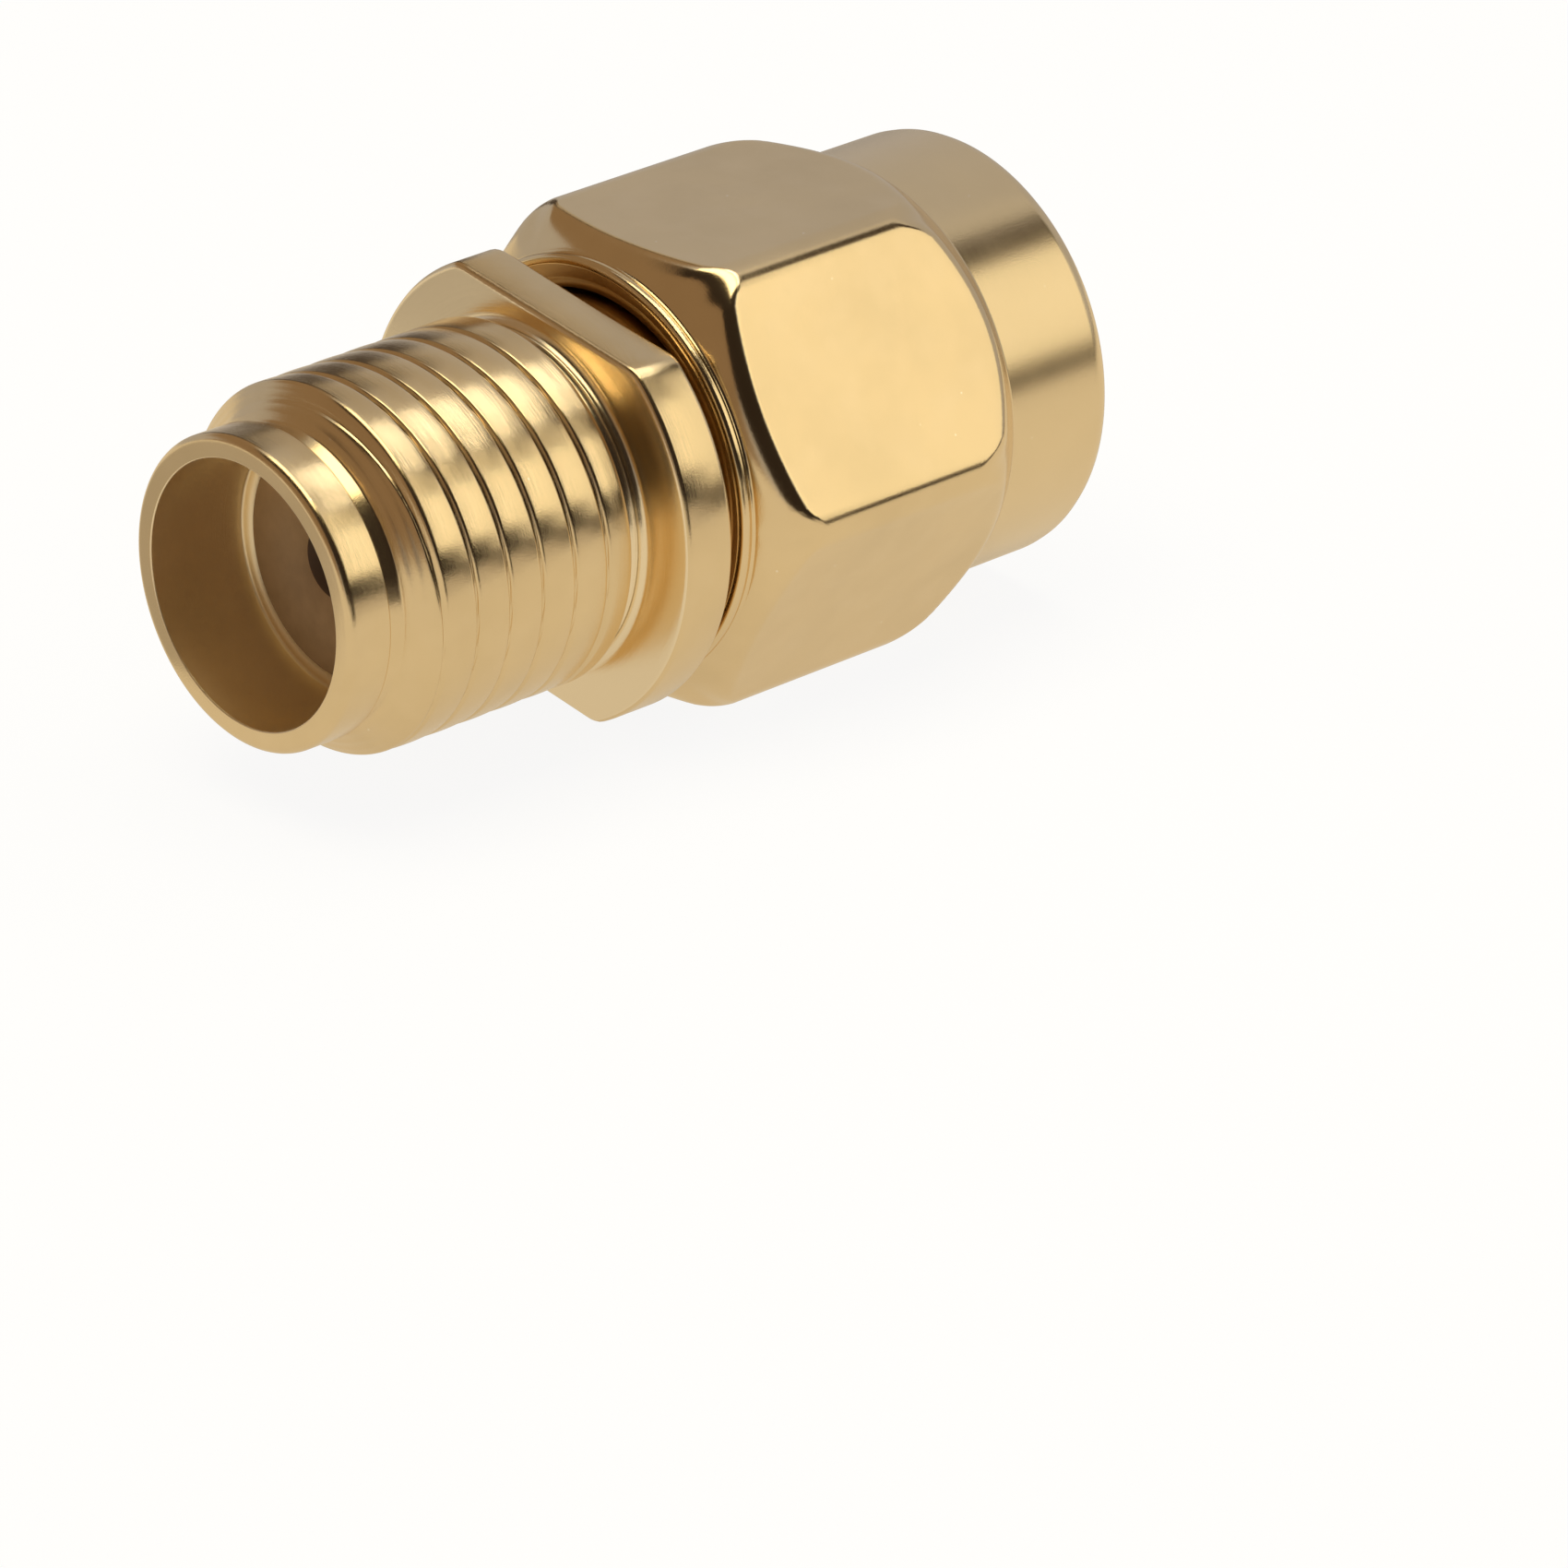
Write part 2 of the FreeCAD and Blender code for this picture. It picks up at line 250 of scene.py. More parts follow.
# Floor, in metres
FLOOR_HALF = 1.5
FLOOR_LIFT = 0.90
FLOOR_WHITE = 1.0
FLOOR_DARK = (0.90, 0.90, 0.90)
FLOOR_LIGHT = (0.93, 0.93, 0.93)
MIRRORED_LIFT = 0.90
MIRRORED_COLOUR = (0.72, 0.63, 0.49)
PAPER_SCALE = 60.0
PAPER_HEIGHT = 0.0004
CARD_FOOT = 0.001

# Colours of the lamps and cards
WHITE = (1.0, 1.0, 1.0)
WARM = (1.0, 0.87, 0.52)
NEARLY_WHITE = (1.0, 0.94, 0.80)
DARK = (0.030, 0.021, 0.015)
DIM = (0.085, 0.060, 0.040)
BROWN = (0.270, 0.180, 0.105)
ROOM = (0.456, 0.429, 0.414, 1)

# Camera: direction fitted to the object's own perspective. The photograph doesn't fix the lens,
# which is one choice out of a wide range that fits, and the distance follows from it.
CAMERA_AIM = Vector((-6.400, -10.980, 3.970)) * MM
CAMERA_TURN = math.radians(43.56)
CAMERA_HEIGHT = math.radians(25.52)
CAMERA_ROLL = math.radians(0.69)
CAMERA_DISTANCE = 142.62 * MM
SENSOR = 36.0
LENS = 211.8
NEAREST_SEEN = 0.001
FARTHEST_SEEN = 10


def corner_points(before, here, after, rounding, steps):
    """One corner of a profile: the point itself, or points along a tangent arc."""
    here = np.array(here[:2], float)
    if not rounding:
        return [here]
    back = np.array(before[:2]) - here
    ahead = np.array(after[:2]) - here
    back /= np.linalg.norm(back)
    ahead /= np.linalg.norm(ahead)
    half = math.acos(np.clip(back @ ahead, -1, 1)) / 2
    bisector = (back + ahead) / np.linalg.norm(back + ahead)
    centre = here + bisector * rounding / math.sin(half)
    sweep = math.pi / 2 - half
    outward = -bisector
    side = back - (back @ outward) * outward
    side /= np.linalg.norm(side)
    angles = np.linspace(sweep, -sweep, steps + 1)
    return [centre + rounding * (math.cos(a) * outward + math.sin(a) * side) for a in angles]


def profile(corners, steps=ARC_STEPS):
    """Points (x, radius) of an open profile. A corner is (x, radius) or (x, radius, rounding)."""
    points = []
    for index, here in enumerate(corners):
        rounding = here[2] if len(here) > 2 and 0 < index < len(corners) - 1 else 0
        before = corners[max(index - 1, 0)]
        after = corners[min(index + 1, len(corners) - 1)]
        points += corner_points(before, here, after, rounding, steps)
    return np.array(points)


def full_turn(columns=COLUMNS):
    """Evenly spaced angles about the axis, from +Y towards +Z."""
    return np.linspace(0, 2 * math.pi, columns, endpoint=False)


def hex_columns():
    """Angles that crowd together at the six rounded edges of the nut."""
    edge = HEX_EDGE_ANGLE
    flat = np.linspace(-math.pi / 6 + edge, math.pi / 6 - edge, HEX_FACE_COLUMNS)
    corner = np.linspace(math.pi / 6 - edge, math.pi / 6 + edge, HEX_EDGE_COLUMNS)[1:-1]
    sector = np.concatenate([flat, corner])
    return np.concatenate([sector + math.pi / 2 + turn * math.pi / 3 for turn in range(6)])


def solid(name, xs, radii, angles, closed=True):
    """Mesh object from a grid of radii, one row per profile point and one column per angle."""
    rows, columns = radii.shape
    xs = np.broadcast_to(np.asarray(xs, float).reshape(rows, -1), radii.shape)
    points = np.empty((rows, columns, 3))
    points[..., 0] = MOUTH + xs * MM
    points[..., 1] = radii * np.cos(angles) * MM
    points[..., 2] = AXIS_HEIGHT + radii * np.sin(angles) * MM
    last = rows if closed else rows - 1
    row = np.arange(last)[:, None]
    column = np.arange(columns)[None, :]
    next_row = (row + 1) % rows
    next_column = (column + 1) % columns
    quads = np.stack([
        row * columns + column,
        row * columns + next_column,
        next_row * columns + next_column,
        next_row * columns + column,
    ], axis=-1).reshape(-1, 4).tolist()
    if not closed:
        quads.append(list(range(columns))[::-1])
        quads.append([(rows - 1) * columns + index for index in range(columns)])
    mesh = bpy.data.meshes.new(name)
    mesh.from_pydata(points.reshape(-1, 3).tolist(), [], quads)
    mesh.validate()
    mesh.polygons.foreach_set("use_smooth", [True] * len(mesh.polygons))
    obj = bpy.data.objects.new(name, mesh)
    bpy.context.collection.objects.link(obj)
    weighted = obj.modifiers.new("face_weighted_normals", "WEIGHTED_NORMAL")
    weighted.mode = "FACE_AREA"
    weighted.weight = 50
    return obj


def spread(points, angles):
    """The radii of a profile, repeated for every angle."""
    return np.repeat(points[:, 1:2], len(angles), axis=1)


def turned(name, corners, closed=True, columns=COLUMNS):
    """Plain turned piece from a profile."""
    points = profile(corners)
    angles = full_turn(columns)
    return solid(name, points[:, 0], spread(points, angles), angles, closed)


def smooth_min(first, second, blend):
    """The smaller of two radii, rounded where they cross."""
    overlap = np.maximum(blend - np.abs(first - second), 0) / blend
    return np.minimum(first, second) - overlap ** 2 * blend / 4


def smooth_step(value, low, high):
    """0 below low, 1 above high, and an S-curve between."""
    share = np.clip((value - low) / (high - low), 0, 1)
    return share * share * (3 - 2 * share)


def flange_radius(angles):
    """Outline of the flange: a disc cut by two flats."""
    from_flat = np.abs(np.cos(angles - math.pi / 2 - FLANGE_ROLL))
    flat = HALF_FLANGE_FLATS / np.maximum(from_flat, LEAST_COSINE)
    return smooth_min(flat, np.full_like(flat, FLANGE_RADIUS), FLANGE_CORNER_BLEND)


def from_face_middle(angles):
    """Angle from the middle of the nearest hexagon face, without its sign."""
    return np.abs((angles - math.pi / 2 + math.pi / 6) % (math.pi / 3) - math.pi / 6)


def hex_edge_rounding():
    """Rounding of the nut's long edges: as wide as the nut's width implies, times the softening."""
    sharp = HALF_ACROSS_FLATS / math.cos(math.pi / 6)
    return EDGE_SOFTENING * (sharp - NUT_HALF_WIDTH) / (1 / math.cos(math.pi / 6) - 1)


def hexagon_radius(angles):
    """Outline of the nut: a hexagon with rounded edges, two of its faces level."""
    from_face = from_face_middle(angles)
    from_edge = math.pi / 6 - from_face
    rounding = hex_edge_rounding()
    arc_centre = (HALF_ACROSS_FLATS - rounding) / math.cos(math.pi / 6)
    flat = HALF_ACROSS_FLATS / np.cos(from_face)
    reach = np.maximum(rounding ** 2 - (arc_centre * np.sin(from_edge)) ** 2, 0)
    arc = arc_centre * np.cos(from_edge) + np.sqrt(reach)
    tangent = (HALF_ACROSS_FLATS - rounding) * math.tan(math.pi / 6)
    on_flat = from_face < math.atan(tangent / HALF_ACROSS_FLATS)
    return np.where(on_flat, flat, arc)


def corner_share(angles):
    """How far a face's polished-off corners have grown at each angle, from 0 to 1."""
    beside = HALF_ACROSS_FLATS * np.tan(from_face_middle(angles))
    edge = HALF_ACROSS_FLATS * math.tan(math.pi / 6)
    return smooth_step(beside, edge - CORNER_ROUNDING, edge)


def thread_turn(xs, angles):
    """Place within one pitch, 0 in the valley and 1 in the next valley, right-handed."""
    shift = (angles - FIRST_VALLEY_ANGLE) / (2 * math.pi)
    return ((np.asarray(xs)[:, None] - FIRST_VALLEY) / PITCH - shift[None, :]) % 1


def outer_thread(xs, radii, angles):
    """Polished thread: broad rounded crests with a narrow valley between them."""
    place = thread_turn(xs, angles)
    from_crest = np.abs(2 * place - 1)
    from_valley = np.minimum(place, 1 - place)
    drop = CREST_SAG * from_crest ** 2 + VALLEY_DEPTH * np.exp(-(from_valley / VALLEY_WIDTH) ** 2)
    fade = smooth_step(xs, *THREAD_FADE_IN)
    fade = fade * (1 - smooth_step(xs, *THREAD_FADE_OUT))
    return radii - drop * fade[:, None]


def body_piece():
    """Socket bore, pilot, threaded barrel, flange and neck."""
    angles = full_turn()
    front = profile([
        (BORE_DEPTH, INSULATOR_RADIUS),
        (BORE_DEPTH, BORE_RADIUS, BORE_FOOT_ROUNDING),
        (0, BORE_RADIUS, MOUTH_ROUNDING),
        (0, PILOT_RADIUS, PILOT_ROUNDING),
        (PILOT_LENGTH, PILOT_RADIUS, PILOT_REAR_ROUNDING),
        (PILOT_LENGTH + UNDERCUT_SLOPE, UNDERCUT_RADIUS, UNDERCUT_FRONT_ROUNDING),
        (THREAD_START + UNDERCUT_SLOPE, UNDERCUT_RADIUS + UNDERCUT_RISE, UNDERCUT_REAR_ROUNDING),
        (CHAMFER_START, THREAD_START_RADIUS),
    ], FRONT_ARC_STEPS)
    envelope = profile([
        (CHAMFER_START, THREAD_START_RADIUS),
        (CHAMFER_END, THREAD_RADIUS, CHAMFER_ROUNDING),
        (THREAD_END, THREAD_RADIUS),
    ], CHAMFER_ARC_STEPS)
    xs = np.arange(CHAMFER_START, BARREL_END, PITCH / THREAD_STEPS)[1:]
    on_chamfer = 1 - smooth_step(xs, CHAMFER_END - RIDGE_FADE, CHAMFER_END)
    ridges = RIDGE_DEPTH * np.abs(np.sin(math.pi * xs / RIDGE_PITCH)) * on_chamfer
    barrel = np.column_stack([xs, np.interp(xs, envelope[:, 0], envelope[:, 1]) - ridges])
    behind = profile([
        (BARREL_END, THREAD_RADIUS),
        (THREAD_END, THREAD_RADIUS, THREAD_REAR_ROUNDING),
        (THREAD_END + 0.04, RELIEF_RADIUS, RELIEF_ROUNDINGS[0]),
        (RELIEF_STEP_START, RELIEF_RADIUS, RELIEF_ROUNDINGS[1]),
        (RELIEF_STEP_END, RELIEF_STEP_RADIUS, RELIEF_ROUNDINGS[2]),
        (FLANGE_FRONT, RELIEF_STEP_RADIUS, FLANGE_FOOT_ROUNDING),
        (FLANGE_FRONT, FLANGE_FOOT_RADIUS),
    ])
    neck = profile([
        (FLANGE_REAR, FLANGE_BACK_RADIUS),
        (FLANGE_REAR, NECK_RADIUS, NECK_FOOT_ROUNDING),
        (RING_GROOVE[0], NECK_RADIUS),
        (RING_GROOVE[0], RING_GROOVE_RADIUS),
        (RING_GROOVE[1], RING_GROOVE_RADIUS),
        (RING_GROOVE[1], NECK_RADIUS),
        (NECK_END, NECK_RADIUS, NECK_END_ROUNDING),
        (NECK_END, SPIGOT_RADIUS),
        (NECK_END - SPIGOT_LENGTH, SPIGOT_RADIUS),
        (NECK_END - SPIGOT_LENGTH, INSULATOR_RADIUS),
    ])
    rim = flange_radius(angles)[None, :]
    edge = FLANGE_EDGE
    bend = np.linspace(0, math.pi / 2, FLANGE_EDGE_STEPS)[:, None]
    share = np.linspace(0, 1, FLANGE_FACE_STEPS)[1:, None]
    face_radii = FLANGE_FOOT_RADIUS + (rim - edge - FLANGE_FOOT_RADIUS) * share
    face_xs = np.full(len(share), FLANGE_FRONT)
    front_edge = rim - edge + edge * np.sin(bend[1:])
    front_edge_xs = FLANGE_FRONT + edge - edge * np.cos(bend[1:, 0])
    rear_edge = rim - edge + edge * np.cos(bend)
    rear_edge_xs = FLANGE_REAR - edge + edge * np.sin(bend[:, 0])
    back_radii = FLANGE_BACK_RADIUS + (rim - edge - FLANGE_BACK_RADIUS) * share[-2::-1]
    back_xs = np.full(len(share) - 1, FLANGE_REAR)
    threaded = outer_thread(barrel[:, 0], spread(barrel, angles), angles)
    radii = np.concatenate([
        spread(front, angles), threaded, spread(behind, angles), face_radii, front_edge,
        rear_edge, back_radii, spread(neck, angles),
    ])
    all_xs = np.concatenate([
        front[:, 0], barrel[:, 0], behind[:, 0], face_xs, front_edge_xs,
        rear_edge_xs, back_xs, neck[:, 0],
    ])
    return solid("gold_body", all_xs, radii, angles)


def nut_piece():
    """Hexagon with turned chamfers and lip, round collar, stepped and threaded bore."""
    angles = hex_columns()
    across = hexagon_radius(angles)[None, :]
    foot = NUT_FRONT + LIP_HEIGHT
    collar_start = HEX_REAR + (HALF_ACROSS_FLATS - COLLAR_RADIUS) * math.tan(REAR_CHAMFER)
    lip = profile([
        (NUT_FRONT + LIP_RECESS_DEPTH, NUT_HOLE_RADIUS),
        (NUT_FRONT + LIP_RECESS_DEPTH, LIP_RECESS_RADIUS, LIP_RECESS_ROUNDING),
        (NUT_FRONT, LIP_INNER_RADIUS, LIP_INNER_ROUNDING),
        (NUT_FRONT, LIP_OUTER_RADIUS, LIP_OUTER_ROUNDING),
        (foot - LIP_FOOT_START, LIP_OUTER_RADIUS, LIP_FOOT_ROUNDING),
        (foot - LIP_FOOT_END, LIP_FOOT_RADIUS),
    ], LIP_ARC_STEPS)
    front_xs = np.linspace(foot, HEX_FRONT + NUT_FRONT_REACH, NUT_FRONT_ROWS)
    middle_xs = np.linspace(HEX_FRONT + NUT_FRONT_REACH, HEX_REAR - NUT_REAR_REACH, NUT_MIDDLE_ROWS)[1:-1]
    rear_xs = np.linspace(HEX_REAR - NUT_REAR_REACH, collar_start, NUT_REAR_ROWS)
    xs = np.concatenate([front_xs, middle_xs, rear_xs])
    front_loss = (FRONT_BLEND - HALF_ACROSS_FLATS + LIP_OUTER_RADIUS) ** 2 / (4 * FRONT_BLEND)
    rear_loss = (REAR_BLEND - HALF_ACROSS_FLATS + COLLAR_RADIUS) ** 2 / (4 * REAR_BLEND)
    front_cone = LIP_OUTER_RADIUS + front_loss + (xs - foot) / math.tan(FRONT_CHAMFER)
    rear_cone = COLLAR_RADIUS + rear_loss + (collar_start - xs) / math.tan(REAR_CHAMFER)
    corner = corner_share(angles)[None, :]
    hexagon = smooth_min(across, front_cone[:, None], FRONT_BLEND + FRONT_CORNER_BLEND * corner)
    hexagon = smooth_min(hexagon, rear_cone[:, None], REAR_BLEND + REAR_CORNER_BLEND * corner)
    hexagon = np.maximum(hexagon, LIP_FOOT_RADIUS)
    collar = profile([
        (collar_start + COLLAR_STEP, COLLAR_RADIUS),
        (NUT_END, COLLAR_RADIUS, COLLAR_ROUNDING),
        (NUT_END, NUT_ENTRY_RADIUS, NUT_ENTRY_ROUNDING),
        (NUT_END - NUT_ENTRY_LENGTH, NUT_MINOR_RADIUS),
    ])
    relief_end = GASKET_FRONT + NUT_RELIEF_LENGTH
    thread_xs = np.arange(NUT_END - NUT_ENTRY_LENGTH, relief_end, -PITCH / NUT_THREAD_STEPS)[1:]
    place = thread_turn(thread_xs, angles)
    flank = np.clip(NUT_FLANK_TOP - np.abs(2 * place - 1) * NUT_FLANK_SLOPE, 0, 1)
    fade = smooth_step(thread_xs, relief_end, relief_end + NUT_THREAD_FADE)[:, None]
    entry_end = NUT_ENTRY_LENGTH + NUT_ENTRY_FADE
    entry = smooth_step(NUT_END - thread_xs, NUT_ENTRY_LENGTH, entry_end)[:, None]
    threaded = NUT_MINOR_RADIUS + NUT_THREAD_DEPTH * flank * fade * entry
    bore = profile([
        (relief_end, NUT_MINOR_RADIUS),
        (relief_end, NUT_RELIEF_RADIUS),
        (GASKET_FRONT, NUT_RELIEF_RADIUS),
        (GASKET_FRONT, NUT_HOLE_RADIUS),
        (RING_GROOVE[1], NUT_HOLE_RADIUS),
        (RING_GROOVE[1], NUT_GROOVE_RADIUS),
        (RING_GROOVE[0], NUT_GROOVE_RADIUS),
        (RING_GROOVE[0], NUT_HOLE_RADIUS),
    ])
    radii = np.concatenate([
        spread(lip, angles), hexagon, spread(collar, angles), threaded, spread(bore, angles),
    ])
    all_xs = np.concatenate([lip[:, 0], xs, collar[:, 0], thread_xs, bore[:, 0]])
    return solid("gold_nut", all_xs, radii, angles)


def outer_contact_piece():
    """Plug sleeve with a rounded front edge."""
    return turned("gold_plug_sleeve", [
        (PLUG_FACE, INSULATOR_RADIUS),
        (NECK_END - SPIGOT_LENGTH, INSULATOR_RADIUS),
        (NECK_END - SPIGOT_LENGTH, SPIGOT_RADIUS),
        (NECK_END, SPIGOT_RADIUS),
        (NECK_END, PLUG_RADIUS),
        (PLUG_FACE, PLUG_RADIUS, PLUG_ROUNDING),
        (PLUG_FACE, INSULATOR_RADIUS + PLUG_BREAK),
    ])


def gasket_piece():
    """Rubber ring with rounded edges."""
    outer = (GASKET_HIGH[2] - GASKET_LOW[2]) / 2 / MM
    back = (GASKET_LOW[0] - MOUTH) / MM
    return turned("rubber_gasket", [
        (back, PLUG_RADIUS),
        (back, outer, GASKET_ROUNDING),
        (GASKET_FRONT, outer, GASKET_ROUNDING),
        (GASKET_FRONT, PLUG_RADIUS, GASKET_ROUNDING),
        (back, PLUG_RADIUS + GASKET_SEAM),
    ])


def insulator_piece(name, start, end, hole):
    """Moulded sleeve with softly broken outer edges."""
    return turned(name, [
        (start, hole),
        (start, INSULATOR_RADIUS, INSULATOR_ROUNDING),
        (end, INSULATOR_RADIUS, INSULATOR_ROUNDING),
        (end, hole),
    ])


def pin_piece():
    """Centre pin: collar held between the insulators, shank and a coned tip with soft edges."""
    tip = PLUG_FACE + PIN_LENGTH
    back = INSULATOR_JOINT + PIN_COLLAR_LENGTH
    return turned("gold_pin", [
        (INSULATOR_JOINT - PIN_SPIGOT_LENGTH, PIN_START_RADIUS),
        (INSULATOR_JOINT - PIN_SPIGOT_LENGTH, PIN_SPIGOT_RADIUS),
        (INSULATOR_JOINT, PIN_SPIGOT_RADIUS),
        (INSULATOR_JOINT, PIN_COLLAR_RADIUS, PIN_COLLAR_ROUNDING),
        (back, PIN_COLLAR_RADIUS, PIN_COLLAR_ROUNDING),
        (back, CONTACT_RADIUS),
        (PLUG_FACE, CONTACT_RADIUS, PIN_SHOULDER_ROUNDING),
        (PLUG_FACE, PIN_RADIUS),
        (tip - PIN_TIP_LENGTH, PIN_RADIUS, PIN_TIP_ROUNDINGS[0]),
        (tip, PIN_TIP_RADIUS, PIN_TIP_ROUNDINGS[1]),
        (tip, PIN_POINT_RADIUS),
    ], closed=False, columns=PIN_COLUMNS)


class Nodes:
    """Short hand for building a material's node tree."""

    def __init__(self, name):
        self.material = bpy.data.materials.new(name)
        self.material.use_nodes = True
        self.tree = self.material.node_tree
        self.shader = self.tree.nodes["Principled BSDF"]

    def add(self, kind, inputs=None, **settings):
        node = self.tree.nodes.new(kind)
        for key, value in settings.items():
            setattr(node, key, value)
        for key, value in (inputs or {}).items():
            self.put(node.inputs[key], value)
        return node

    def put(self, socket, value):
        if isinstance(value, bpy.types.NodeSocket):
            self.tree.links.new(value, socket)
        else:
            socket.default_value = value

    def math(self, operation, first, second=0.0, third=0.0):
        node = self.tree.nodes.new("ShaderNodeMath")
        node.operation = operation
        for socket, value in zip(node.inputs, (first, second, third)):
            self.put(socket, value)
        return node.outputs[0]

    def ramp(self, factor, stops):
        node = self.tree.nodes.new("ShaderNodeValToRGB")
        self.put(node.inputs[0], factor)
        elements = node.color_ramp.elements
        while len(elements) < len(stops):
            elements.new(0.5)
        for element, (place, value) in zip(elements, stops):
            element.position = place
            element.color = (value, value, value, 1) if isinstance(value, float) else (*value, 1)
        return node.outputs[0]

    def noise(self, vector, scale, detail=3.0, roughness=0.5):
        node = self.add("ShaderNodeTexNoise", {
            "Vector": vector, "Scale": scale, "Detail": detail, "Roughness": roughness,
        })
        return node.outputs["Fac"]

    def mix(self, factor, first, second):
        node = self.tree.nodes.new("ShaderNodeMix")
        node.data_type = "RGBA"
        self.put(node.inputs[0], factor)
        for socket, value in ((node.inputs[6], first), (node.inputs[7], second)):
            self.put(socket, value if isinstance(value, bpy.types.NodeSocket) else (*value, 1))
        return node.outputs[2]

    def bump(self, height, strength, distance, normal=None):
        node = self.add("ShaderNodeBump", {"Height": height, "Strength": strength, "Distance": distance})
        if normal is not None:
            self.put(node.inputs["Normal"], normal)
        return node.outputs["Normal"]


def turned_coordinates(nodes):
    """The place itself, how far it is along the axis, its distance from it and its angle round it."""
    place = nodes.add("ShaderNodeTexCoord").outputs["Object"]
    split = nodes.add("ShaderNodeSeparateXYZ", {"Vector": place}).outputs
    height = nodes.math("SUBTRACT", split["Z"], AXIS_HEIGHT)
    square = nodes.math("MULTIPLY_ADD", height, height, nodes.math("MULTIPLY", split["Y"], split["Y"]))
    radius = nodes.math("SQRT", square)
    angle = nodes.math("ARCTAN2", height, split["Y"])
    return place, split["X"], radius, angle


def gold(name, colour, roughness, marks, inside=None, inside_painted_light=RECESS_PAINTED_LIGHT, recess=None, satin_from=None):
    """Gold plating: turning marks, faint smudges, fine grain, a few pale specks that are painted glints,
    and a painted lift or painted shade in its hollows, as given.

    marks: how strongly the turning marks stand out.
    inside: radius in mm within which the surface is rougher, as a bore is, and painted in the tone below.
    inside_painted_light: colour painted within that radius: paler gold is painted light, SHADED is
    painted shade.
    recess: places along the axis, in mm from the mouth, between which the colour is painted paler, as
    painted light in the shaded recess.
    satin_from: place along the axis beyond which the surface is turned, not polished.
    """
    nodes = Nodes(name)
    place, along, radius, angle = turned_coordinates(nodes)
    reach = nodes.math(
        "ADD", nodes.math("MULTIPLY", along, MARK_SCALE), nodes.math("MULTIPLY", radius, MARK_SCALE))
    drift = nodes.math("MULTIPLY", angle, MARK_DRIFT)
    lines_at = nodes.add("ShaderNodeCombineXYZ", {"X": reach, "Y": drift})
    lines = nodes.noise(lines_at.outputs[0], 1.0, 4.0, 0.7)
    grain = nodes.noise(place, GRAIN_SCALE, 2.0, 0.6)
    smudge = nodes.noise(place, SMUDGE_SCALE, 3.0, 0.55)
    cloud = nodes.noise(place, CLOUD_SCALE, 2.0, 0.5)
    specks = nodes.add("ShaderNodeTexVoronoi", {
        "Vector": place, "Scale": SPECK_SCALE, "Randomness": 1.0,
    })
    glint_speck = nodes.math("LESS_THAN", specks.outputs["Distance"], SPECK_REACH)
    darker = tuple(channel * SMUDGED for channel in colour)
    paler = tuple(min(channel * gain, 1) for channel, gain in zip(colour, POLISHED))
    tone = nodes.mix(nodes.ramp(smudge, [(0.35, 0.0), (0.65, 1.0)]), darker, colour)
    clouded = nodes.math("MULTIPLY", nodes.ramp(cloud, [(0.45, 0.0), (0.75, 1.0)]), CLOUD_SHARE)
    tone = nodes.mix(clouded, tone, paler)
    # Painted glints: tiny specks mixed towards near-white.
    tone = nodes.mix(nodes.math("MULTIPLY", glint_speck, SPECK_SHARE), tone, PAINTED_GLINT_TONE)
    if recess:
        # Painted light: the recess before the flange is painted paler.
        after = nodes.math("GREATER_THAN", along, MOUTH + recess[0] * MM)
        before = nodes.math("LESS_THAN", along, MOUTH + recess[1] * MM)
        tone = nodes.mix(nodes.math("MULTIPLY", after, before), tone, RECESS_PAINTED_LIGHT)
    if inside:
        # Within this radius the roughness rises and the colour is painted: paler as painted light, darker
        # as painted shade.
        bored_and_painted_light = nodes.math("LESS_THAN", radius, inside * MM)
        tone = nodes.mix(bored_and_painted_light, tone, inside_painted_light)
    if satin_from:
        satin = nodes.math("GREATER_THAN", along, MOUTH + satin_from * MM)
        tone = nodes.mix(nodes.math("MULTIPLY", satin, SATIN_SHARE), tone, SATIN_TONE)
    nodes.put(nodes.shader.inputs["Base Color"], tone)
    nodes.shader.inputs["Metallic"].default_value = 1.0
    rough = nodes.math("MULTIPLY_ADD", nodes.math("SUBTRACT", smudge, 0.5), SMUDGE_ROUGHNESS, roughness)
    rough = nodes.math("MULTIPLY_ADD", nodes.math("SUBTRACT", lines, 0.5), MARK_ROUGHNESS, rough)
    if inside:
        rough = nodes.math("MULTIPLY_ADD", bored_and_painted_light, BORED_ROUGHNESS, rough)
    if satin_from:
        rough = nodes.math("MULTIPLY_ADD", satin, SATIN_ROUGHNESS, rough)
    nodes.put(nodes.shader.inputs["Roughness"], nodes.math("MAXIMUM", rough, LEAST_ROUGHNESS))
    normal = nodes.bump(lines, marks, MARK_RELIEF)
    normal = nodes.bump(grain, GRAIN_STRENGTH, GRAIN_RELIEF, normal)
    nodes.put(nodes.shader.inputs["Normal"], normal)
    return nodes.material


